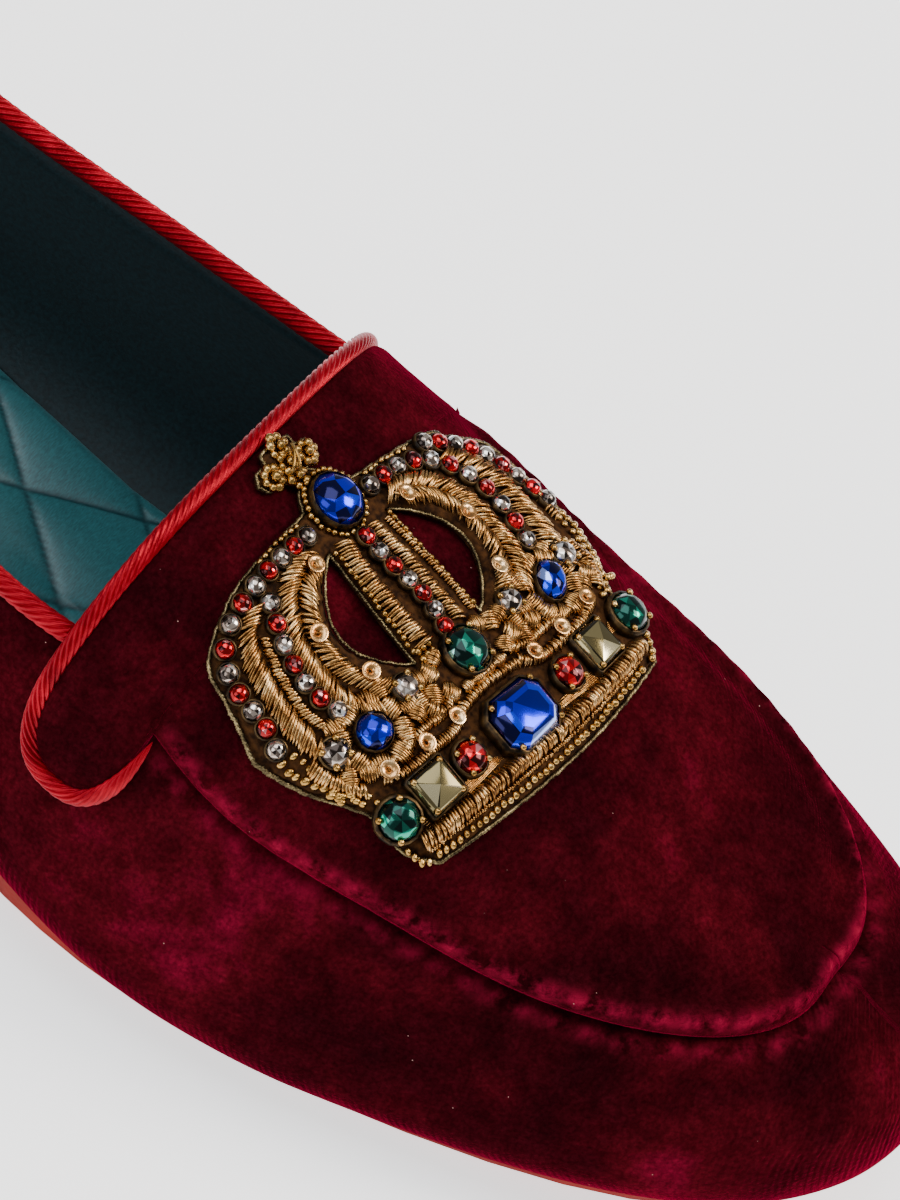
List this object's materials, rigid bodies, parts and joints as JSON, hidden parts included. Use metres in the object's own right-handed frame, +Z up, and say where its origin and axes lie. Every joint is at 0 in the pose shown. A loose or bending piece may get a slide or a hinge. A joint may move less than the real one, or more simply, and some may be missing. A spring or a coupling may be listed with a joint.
{
  "type": "velvet slipper loafer",
  "caption": "Low slip-on loafer for the right foot in pile fabric, with an apron front, piped collar and throat, quilted insole and a stone-set crown ornament",
  "frame": {"origin": "on the floor, below the middle of the shoe's box", "axes": "+Z up, heel towards +Y, toe towards -Y, the wearer's big toe side towards +X"},
  "size_m": [0.1016, 0.288, 0.0735],
  "materials": {
    "velvet_burgundy": "cotton velvet with a short pile",
    "grosgrain_red": "ribbed grosgrain piping",
    "satin_teal": "quilted satin",
    "sole_leather": "red painted sole leather",
    "heel_leather": "stacked leather, dark",
    "lift_rubber": "matte",
    "bullion_gold": "coiled metal thread embroidery",
    "glass_blue": "cut and foil backed",
    "glass_green": "cut and foil backed",
    "glass_red": "cut and foil backed",
    "glass_smoke": "cut and foil backed"
  },
  "bodies": {
    "root": {"upper": "velvet_burgundy", "apron": "velvet_burgundy", "collar_cord": "grosgrain_red", "throat_cord": "grosgrain_red", "insole": "satin_teal", "outsole": "sole_leather", "heel_stack": "heel_leather", "top_lift": "lift_rubber", "crown_patch": "bullion_gold", "crown_band": "bullion_gold", "stone_centre": "glass_blue", "stone_orb": "glass_blue", "stone_middle": "glass_green", "stone_red_inner": "glass_red", "stone_red_outer": "glass_red", "stone_square_inner": "glass_smoke", "stone_square_outer": "glass_smoke", "stone_green_inner": "glass_green", "stone_green_outer": "glass_green", "stone_blue_inner": "glass_blue", "stone_blue_outer": "glass_blue"}
  },
  "joints": []
}
